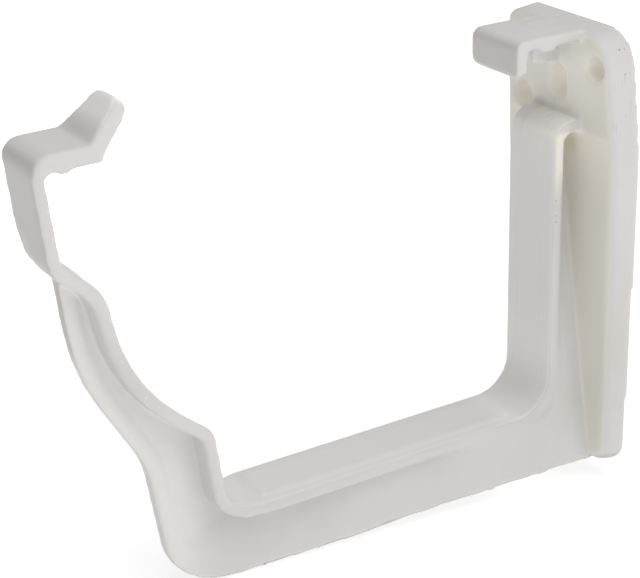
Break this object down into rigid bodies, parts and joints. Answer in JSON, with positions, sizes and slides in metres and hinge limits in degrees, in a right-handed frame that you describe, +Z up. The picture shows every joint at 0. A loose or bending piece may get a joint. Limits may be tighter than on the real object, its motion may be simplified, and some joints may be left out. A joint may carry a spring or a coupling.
{
  "type": "gutter fascia bracket",
  "caption": "Moulded fascia bracket for an ogee gutter: a back plate with fixing holes and a hook, a floor flange, a webbed ogee arm, and a front clip with a release lever.",
  "frame": {"origin": "on the axis of the middle fixing slot, in the plane of the plate's rear rim", "axes": "+X runs along the fascia, +Y points into the wall, +Z is up; the gutter lies on the -Y side"},
  "size_m": [0.0356, 0.1254, 0.1032],
  "materials": {
    "upvc": "white moulded uPVC, satin gloss"
  },
  "bodies": {
    "root": {"bracket": "upvc"}
  },
  "joints": []
}
